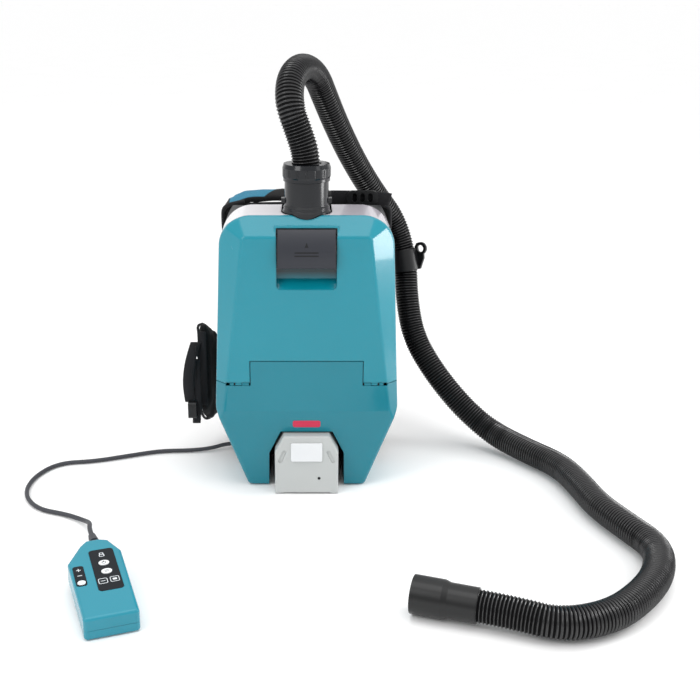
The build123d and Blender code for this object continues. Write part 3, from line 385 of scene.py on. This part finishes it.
def tube(name, points, radius_at, sides, paint, body):
    """Round tube along points; radius_at gives the radius at a distance along it."""
    ways = tangents(points)
    across = ways[0].orthogonal().normalized()
    rings, travelled = [], 0.0
    for i, (point, way) in enumerate(zip(points, ways)):
        across = (across - way * across.dot(way)).normalized()
        other = way.cross(across)
        if i:
            travelled += (point - points[i - 1]).length
        r = radius_at(travelled)
        for k in range(sides):
            turn = 2 * math.pi * k / sides
            rings.append(point + (across * math.cos(turn) + other * math.sin(turn)) * r)
    faces = []
    for i in range(len(points) - 1):
        for k in range(sides):
            a, b = i * sides + k, i * sides + (k + 1) % sides
            faces.append((a, b, b + sides, a + sides))
    faces.append(tuple(reversed(range(sides))))
    faces.append(tuple(range(len(rings) - sides, len(rings))))
    return add_mesh(name, rings, faces, paint, body)


def laid_on(points, node, lift):
    """Points moved onto a CAD surface, lift above it, and the surface's normals there."""
    tree = surface_of(node)
    found = [tree.find_nearest(point) for point in points]
    return [hit[0] + hit[1] * lift for hit in found], [hit[1] for hit in found]


def band(name, route, width, thick, body, across=None, facing=None, on=None, stands_for=()):
    """Flat webbing with rounded edges along a route.

    Its width runs along across, or square to facing, or it lies flat on the surface of the node named by on.
    """
    points = line_points(route, 0.003)
    normals = [facing] * len(points)
    if on:
        points, normals = laid_on(points, on, thick * 0.6)
    half, edge = width / 2, thick / 2
    section = [(-half + edge, edge), (0, edge * 1.1), (half - edge, edge), (half, 0), (half - edge, -edge),
               (0, -edge * 1.1), (-half + edge, -edge), (-half, 0)]
    rings = []
    for point, way, normal in zip(points, tangents(points), normals):
        side = Vector(across) if across else Vector(normal).cross(way).normalized()
        up = way.cross(side).normalized()
        rings += [point + side * u + up * v for u, v in section]
    n = len(section)
    faces = [(i * n + k, i * n + (k + 1) % n, (i + 1) * n + (k + 1) % n, (i + 1) * n + k)
             for i in range(len(points) - 1) for k in range(n)]
    faces += [tuple(reversed(range(n))), tuple(range(len(rings) - n, len(rings)))]
    made = add_mesh(name, rings, faces, webbing_weave, body)
    if stands_for:
        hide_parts(*stands_for)
    return made


def puff(name, node, paint, size=0.0045, rise=0.0028, pressure=4.0):
    """Padded piece made from a plain CAD pad: remeshed, then blown up a little as cloth."""
    data = nodes[node].data.copy()
    data.name = name
    data.materials.clear()
    data.materials.append(paint)
    made = bpy.data.objects.new(name, data)
    scene.collection.objects.link(made)
    bpy.context.view_layer.objects.active = made
    remesh = made.modifiers.new("remesh", "REMESH")
    remesh.mode, remesh.voxel_size = "VOXEL", size
    smooth = made.modifiers.new("smooth", "SMOOTH")
    smooth.factor, smooth.iterations = 0.5, 4
    apply_all(made)
    rest = [v.co.copy() for v in made.data.vertices]
    swell = made.modifiers.new("cloth", "CLOTH")
    swell.settings.quality = 4
    swell.settings.mass = 0.3
    swell.settings.use_pressure = True
    swell.settings.uniform_pressure_force = pressure
    swell.settings.effector_weights.gravity = 0
    swell.settings.tension_stiffness = 8
    swell.settings.compression_stiffness = 8
    swell.settings.bending_stiffness = 0.3
    swell.point_cache.frame_start, swell.point_cache.frame_end = 1, PUFF_FRAMES
    for number in range(1, PUFF_FRAMES + 1):
        scene.frame_set(number)
    apply_all(made)
    scene.frame_set(1)
    wander = random.Random(len(name))
    shift = Vector((wander.random(), wander.random(), wander.random())) * 40
    for vertex, start in zip(made.data.vertices, rest):
        move = vertex.co - start
        if move.length > rise:
            vertex.co = start + move * (rise / move.length)
        wrinkle = math.sin(shift.x + vertex.co.z * 210 + 1.7 * math.sin(vertex.co.x * 120 + shift.y))
        vertex.co += vertex.normal * WRINKLE * wrinkle * math.sin(shift.z + vertex.co.y * 170)
    for polygon in made.data.polygons:
        polygon.use_smooth = True
    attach(made, "machine")
    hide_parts(node)
    return made


def apply_all(thing):
    """Turns a mesh with modifiers into the mesh that they make."""
    bpy.context.view_layer.update()
    done = thing.evaluated_get(bpy.context.evaluated_depsgraph_get())
    data = bpy.data.meshes.new_from_object(done)
    thing.modifiers.clear()
    thing.data = data


def piping(name, route, radius=0.0013, cyclic=False, on=None, sink=0.3):
    """Bound edge or seam along a route, laid on a node's surface if one is named."""
    if on:
        points = line_points(route + route[:1] if cyclic else route, 0.006)
        route, _ = laid_on(points[:-1] if cyclic else points, on, radius * sink)
    made = nurbs(name, route, radius, cyclic)
    made.data.materials.append(piping_cloth)
    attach(made, "machine")
    return made


def surface_of(node):
    data = nodes[node].data
    return BVHTree.FromPolygons([v.co for v in data.vertices], [tuple(p.vertices) for p in data.polygons])


def decal(name, node, outlines, origin, right, up, paint, body, lift=0.00012):
    """Thin printed mark: flat outlines in mm, laid on a CAD surface that faces right x up."""
    tree = surface_of(node)
    origin, right, up = Vector(origin), Vector(right).normalized(), Vector(up).normalized()
    into = up.cross(right).normalized()
    made = bmesh.new()
    for outline in outlines:
        made.faces.new([made.verts.new(origin + right * (u * MM) + up * (v * MM)) for u, v in outline])
    bmesh.ops.triangulate(made, faces=made.faces[:])
    for vertex in made.verts:
        place = tree.ray_cast(vertex.co - into * CAST_FROM, into)[0]
        if place is None:
            raise RuntimeError(f"{name} misses {node}")
        vertex.co = place - into * lift
    data = bpy.data.meshes.new(name)
    made.to_mesh(data)
    made.free()
    data.materials.append(paint)
    thing = bpy.data.objects.new(name, data)
    scene.collection.objects.link(thing)
    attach(thing, body)
    return thing


def oblong(w, h, r, x=0.0, y=0.0, steps=6):
    """Outline of a rounded rectangle, in mm."""
    found = []
    for cx, cy, start in ((w / 2 - r, h / 2 - r, 0), (r - w / 2, h / 2 - r, 90),
                          (r - w / 2, r - h / 2, 180), (w / 2 - r, r - h / 2, 270)):
        for k in range(steps + 1):
            a = math.radians(start + 90 * k / steps)
            found.append((x + cx + r * math.cos(a), y + cy + r * math.sin(a)))
    return found


def ring(w, h, r, line, x=0.0, y=0.0):
    """Outlined rounded rectangle, as a strip of quads, in mm."""
    outer = oblong(w, h, r, x, y, 3)
    inner = oblong(w - 2 * line, h - 2 * line, max(r - line, 0.05), x, y, 3)
    n = len(outer)
    return [[outer[k], outer[(k + 1) % n], inner[(k + 1) % n], inner[k]] for k in range(n)]


# ---------------------------------------------------------------- hose and lead

HOSE_ROUTE = [
    (0, -0.036, 0.395), (0, -0.036, 0.424), (-0.009, -0.0365, 0.452), (-0.021, -0.036, 0.484),
    (-0.020, -0.012, 0.514), (-0.006, 0.026, 0.527), (0.012, 0.064, 0.514), (0.025, 0.084, 0.481),
    (0.041, 0.104, 0.443), (0.064, 0.129, 0.396), (0.092, 0.146, 0.350), (0.126, 0.160, 0.305),
    (0.142, 0.153, 0.250),
    (0.144, 0.136, 0.196), (0.154, 0.120, 0.144), (0.183, 0.098, 0.098), (0.222, 0.076, 0.054),
    (0.263, 0.054, 0.023), (0.300, 0.006, 0.0184), (0.336, -0.044, 0.0184), (0.348, -0.100, 0.0184),
    (0.355, -0.158, 0.0184), (0.375, -0.212, 0.0184), (0.396, -0.264, 0.0184), (0.380, -0.318, 0.0184),
    (0.347, -0.364, 0.0184), (0.305, -0.402, 0.0184), (0.252, -0.417, 0.0186), (0.206, -0.397, 0.0206),
    (0.174, -0.3855, 0.0206),
]
LEAD_ROUTE = [
    (-0.093, 0.048, 0.010), (-0.112, 0.048, 0.010), (-0.134, 0.043, 0.0046), (-0.165, 0.039, 0.003),
    (-0.205, 0.038, 0.003), (-0.248, 0.021, 0.003), (-0.292, 0.003, 0.003), (-0.340, -0.003, 0.003),
    (-0.363, -0.048, 0.003), (-0.362, -0.098, 0.003), (-0.336, -0.139, 0.003), (-0.296, -0.153, 0.003),
    (-0.268, -0.174, 0.005), (-0.256, -0.202, 0.017), (-0.2512, -0.2294, 0.0244), (-0.2437, -0.2505, 0.0262),
]
HOSE_R, RIB_PITCH, RIB_DEPTH, LEAD_R = 0.0175, 0.0039, 0.0018, 0.00275
HOSE_SIDES, RIB_STEPS = 32, 8
# The share of a rib's depth below which the hose has its valley colour: painted shade, darker and duller than
# the ribs
SHADED_VALLEY_SHARE = 0.62


def hose_radius(travelled):
    """Sharp ribs with rounded valleys between them."""
    return HOSE_R - RIB_DEPTH * abs(math.sin(math.pi * travelled / RIB_PITCH))


hose_line = line_points(HOSE_ROUTE, RIB_PITCH / RIB_STEPS)
hose = tube("hose", hose_line, hose_radius, HOSE_SIDES, hose_rubber, "machine")
# the valleys between the ribs take the darker material, painted shade
hose.data.materials.append(hose_valley_shade)
for face in hose.data.polygons[:-2]:
    middle = (face.index // HOSE_SIDES + 0.5) * RIB_PITCH / RIB_STEPS
    if hose_radius(middle) < HOSE_R - SHADED_VALLEY_SHARE * RIB_DEPTH:
        face.material_index = 1
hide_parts("hose_tube")

lead = nurbs("handset_lead", LEAD_ROUTE, LEAD_R)
lead.data.materials.append(lead_rubber)
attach(lead, "machine")
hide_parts("cable_tube")

# ---------------------------------------------------------------- harness

puff("shoulder_pad_left", "shoulder_strap_left", strap_mesh)
puff("shoulder_pad_right", "shoulder_strap_right", pad_mesh)
puff("hip_pad_left", "waist_wing_left", pad_mesh)
puff("hip_pad_right", "waist_wing_right", pad_mesh)
puff("lumbar_pad", "back_pad", pad_mesh)
puff("bag", "dust_bag", bag_felt, size=0.006, rise=0.001, pressure=1.0)

for sign, side in ((-1, "left"), (1, "right")):
    x = sign * 0.090
    band(f"strap_web_{side}", [(x, 0.1175, 0.150), (x, 0.1165, 0.096), (x, 0.115, 0.060), (x, 0.1026, 0.048)],
         0.025, 0.0018, "machine", across=(1, 0, 0), stands_for=[f"strap_webbing_{side}"])
band("load_web", [(0.033, 0.081, 0.3538), (0.100, 0.081, 0.3538), (0.112, 0.081, 0.3498)],
     0.018, 0.0020, "machine", facing=(0, 1, 0), stands_for=["load_strap"])
band("handle_web", [(-0.019, 0.1043, 0.328), (-0.018, 0.1043, 0.355), (0, 0.1043, 0.358),
                    (0.018, 0.1043, 0.355), (0.019, 0.1043, 0.328)],
     0.007, 0.004, "machine", across=(0, 1, 0), stands_for=["grab_handle"])
band("belt_web_left", [(-0.1525, 0.022, 0.158), (-0.1525, 0.004, 0.148), (-0.1525, -0.004, 0.124),
                       (-0.1525, -0.002, 0.096)],
     0.009, 0.0022, "machine", across=(1, 0, 0), stands_for=["waist_webbing_left"])
band("belt_web_right", [(0.1066, 0.214, 0.110), (0.096, 0.238, 0.110), (0.066, 0.247, 0.110)],
     0.024, 0.0020, "machine", across=(0, 0, 1), stands_for=["waist_webbing_right"])


def on_strap(x, up, back):
    """A point of a shoulder pad's arch, from its height and depth in the arch's tilted plane, in mm."""
    cosine, sine = math.cos(STRAP_TILT), math.sin(STRAP_TILT)
    return (x * MM, STRAP_Y + (back * cosine - up * sine) * MM, STRAP_Z + (up * cosine + back * sine) * MM)


# Bound edges of the shoulder pads: along their arches and round their hanging parts
for sign, side in ((-1, "left"), (1, "right")):
    outer = [(84, -2.0), (98, -5.0), (108, -8.5), (113.3, -14), (114.6, -28), (114.4, -50)]
    lower = [(25, -8.0), (80, -8.4), (98, -14), (106.5, -28), (107.5, -49)]
    piping(f"edge_{side}_outer", [on_strap(sign * x, up, 1.5) for x, up in outer], 0.0030)
    piping(f"edge_{side}_low", [on_strap(sign * x, up, 1.5) for x, up in lower], 0.0047)
    piping(f"edge_{side}_hanging", [(sign * x, 0.1235, z) for x, z in (
        (0.080, 0.2985), (0.100, 0.2985), (0.1100, 0.288), (0.1100, 0.225), (0.1100, 0.162), (0.100, 0.1515),
        (0.080, 0.1515), (0.0700, 0.162), (0.0700, 0.225), (0.0700, 0.288))],
        0.0015, cyclic=True, on=f"shoulder_strap_{side}")

# Bound edge of the lumbar pad and two quilting seams across it
piping("edge_lumbar", [(x * MM, 0.1195, z * MM) for x, z in (
    (-48, 59), (48, 59), (60, 66), (67, 100), (67, 240), (60, 290), (46, 303), (-46, 303), (-60, 290),
    (-67, 240), (-67, 100), (-60, 66))], 0.0016, cyclic=True)
for z in (0.140, 0.222):
    piping(f"seam_{round(z * 1000)}", [(-0.064, 0.1207, z), (0, 0.1212, z), (0.064, 0.1207, z)], 0.0011)

# Bound edges of the left hip pad, and the belt webbing sewn along it and folded back to the buckle
piping("edge_hip_top", [(x * MM, y * MM, z * MM) for x, y, z in (
    (-144, 10, 84), (-144, 9, 150), (-144, 12, 192), (-142, 26, 193), (-139, 55, 182), (-136, 74, 172),
    (-133, 88, 164), (-128, 104, 150))], 0.0018, on="waist_wing_left")
piping("edge_hip_low", [(x * MM, y * MM, z * MM) for x, y, z in (
    (-144, 10, 84), (-143, 22, 64), (-140, 54, 43), (-134, 80, 42), (-130, 96, 58))],
    0.0018, on="waist_wing_left")
band("hip_web", [(-0.1455, 0.012, 0.168), (-0.1445, 0.030, 0.150), (-0.142, 0.050, 0.126),
                 (-0.137, 0.074, 0.104), (-0.131, 0.094, 0.092)],
     0.025, 0.0018, "machine", on="waist_wing_left")
band("hip_front", [(-0.139, 0.008, 0.186), (-0.139, 0.008, 0.150), (-0.139, 0.008, 0.112),
                   (-0.139, 0.008, 0.082)],
     0.0095, 0.0018, "machine", on="waist_wing_left")
band("hip_fold", [(-0.1475, 0.012, 0.172), (-0.1525, 0.001, 0.158), (-0.1568, -0.006, 0.136),
                  (-0.1580, -0.0075, 0.114), (-0.1555, -0.006, 0.094)],
     0.014, 0.0020, "machine", across=(1, 0, 0))
band("hip_tail", [(-0.1480, 0.008, 0.150), (-0.1475, 0.000, 0.130), (-0.1465, -0.004, 0.106),
                  (-0.1470, -0.005, 0.078), (-0.1485, -0.002, 0.062)],
     0.011, 0.0020, "machine", across=(1, 0, 0))

# ---------------------------------------------------------------- marks on the latch, housing and battery

RIGHT, UP = (1, 0, 0), (0, 0, 1)
decal("latch_arrow", "cover_latch", [[(-2.3, -2.4), (2.3, -2.4), (1.2, 0.3), (0, 3.4), (-1.2, 0.3)]],
      (0, -0.0915, 0.3262), RIGHT, UP, mark_dark, "latch")
# dark strips painted as the shade inside the latch's two grooves
decal("latch_groove_shade", "cover_latch", [oblong(29, 1.5, 0.7, 0, 1.9), oblong(29, 1.5, 0.7, 0, -1.9)],
      (0, -0.0918, 0.3158), RIGHT, UP, mark_dark, "latch")
decal("badge", "lower_housing", [oblong(35, 9.6, 2.4)], (0, -0.080, 0.0935), RIGHT, UP, badge_red, "machine",
      lift=0.0003)
decal("battery_dot", "battery_case", [oblong(4, 4, 1.99)], (0.016, -0.091, 0.022),
      RIGHT, UP, mark_dark, "battery")

# ---------------------------------------------------------------- marks on the handset

TURN, TILT = math.radians(19.5), math.radians(4.5)
HAND_X = Vector((math.cos(TURN), math.sin(TURN), 0))
HAND_Z = Vector((math.sin(TURN) * math.sin(TILT), -math.cos(TURN) * math.sin(TILT), math.cos(TILT)))
HAND_Y = HAND_Z.cross(HAND_X)
HAND_ORIGIN = Vector((-0.1945, -0.406, 0.0004))
HAND_HEIGHT = 26.0


def hand_mark(name, node, outlines, x, y, paint=mark_white, body="machine"):
    """Mark on the handset's face, at a place in mm in the handset's own axes."""
    place = HAND_ORIGIN + (HAND_X * x + HAND_Y * y + HAND_Z * HAND_HEIGHT) * MM
    decal(name, node, outlines, place, HAND_X, HAND_Y, paint, body)


bow = [oblong(1.0, 3.4, 0.45, side * 1.8, 2.2) for side in (-1, 1)] + [oblong(4.6, 1.0, 0.45, 0, 3.6)]
lamp = ring(9.6, 9.4, 1.6, 0.7)
bars = [oblong(4.6, 0.7, 0.3, 0, side * 1.1) for side in (1, -1)]
hand_mark("mark_lock", "control_panel", ring(5.6, 4.4, 0.8, 0.8, 0, -1.2) + bow, 7.2, 104)
hand_mark("mark_lamp_left", "control_panel", lamp + [oblong(5, 0.8, 0.35)], 1.2, 56)
hand_mark("mark_lamp_right", "control_panel", lamp + [oblong(4.4, 3.2, 0.6)], 13.5, 56.6)
hand_mark("mark_plus", "control_panel", [oblong(5.0, 1.0, 0.4), oblong(1.0, 5.0, 0.4)], -20.5, 82)
hand_mark("mark_minus", "control_panel", [oblong(5.0, 1.0, 0.4)], -20.5, 72)
hand_mark("mark_power", "power_button", ring(4.6, 4.6, 2.2, 0.6) + [oblong(0.7, 3.0, 0.3, 0, 1.6)], 7.2, 88,
          mark_dark, "power_key")
hand_mark("mark_mode", "mode_button", bars, 7.6, 72, mark_dark, "mode_key")

# ---------------------------------------------------------------- floor, lights, picture

bpy.ops.mesh.primitive_plane_add(size=600, location=(0, 0, -0.0004))
floor = bpy.context.object
floor.name = "floor"
floor_paint = Shader("floor")
floor_paint.set("Base Color", floor_paint.mix(floor_paint.noise(3), srgb(248, 248, 248), srgb(252, 252, 252)))
floor_paint.set("Roughness", 0.75)
floor_paint.set("Specular IOR Level", 0.15)
floor.data.materials.append(floor_paint.material)

# Sky brighter overhead than round the sides, and white at the horizon
SKY_LOW, HORIZON_GAIN, HORIZON_HEIGHT = 0.55, 0.45, 0.14
world = bpy.data.worlds.new("world")
world.use_nodes = True
sky = world.node_tree
glow = sky.nodes["Background"].inputs["Strength"]
height = sky.nodes.new("ShaderNodeSeparateXYZ")
sky.links.new(sky.nodes.new("ShaderNodeTexCoord").outputs["Generated"], height.inputs[0])
lift = sky.nodes.new("ShaderNodeMath")
lift.operation = "MULTIPLY"
horizon = sky.nodes.new("ShaderNodeMath")
horizon.operation = "COMPARE"
horizon.inputs[1].default_value, horizon.inputs[2].default_value = 0.0, HORIZON_HEIGHT
sides = sky.nodes.new("ShaderNodeMath")
sides.operation = "MULTIPLY_ADD"
sides.inputs[1].default_value, sides.inputs[2].default_value = HORIZON_GAIN, SKY_LOW
total = sky.nodes.new("ShaderNodeMath")
total.operation = "ADD"
for source, target in ((height.outputs["Z"], lift.inputs[0]), (height.outputs["Z"], lift.inputs[1]),
                       (height.outputs["Z"], horizon.inputs[0]), (horizon.outputs[0], sides.inputs[0]),
                       (lift.outputs[0], total.inputs[0]), (sides.outputs[0], total.inputs[1]),
                       (total.outputs[0], glow)):
    sky.links.new(source, target)
sky.nodes["Background"].inputs["Color"].default_value = (1, 1, 1, 1)
scene.world = world


def softbox(name, place, aim, wide, high, power):
    data = bpy.data.lights.new(name, "AREA")
    data.shape, data.size, data.size_y, data.energy = "RECTANGLE", wide, high, power
    made = bpy.data.objects.new(name, data)
    made.location = place
    made.rotation_euler = (Vector(aim) - Vector(place)).to_track_quat("-Z", "Y").to_euler()
    scene.collection.objects.link(made)


softbox("key_left", (-1.3, -1.3, 1.5), (0, 0, 0.2), 0.9, 0.9, 12)
softbox("strip_right", (1.05, -0.03, 0.40), (0, -0.03, 0.40), 0.30, 0.42, 4.5)
softbox("fill_right", (1.5, -0.9, 1.2), (0, 0, 0.2), 0.6, 1.0, 3)
softbox("top", (0, -0.35, 2.2), (0, -0.35, 0), 1.6, 1.2, 7)

scene.view_settings.view_transform = "Standard"
scene.view_settings.look = "None"
scene.view_settings.exposure = 0.0
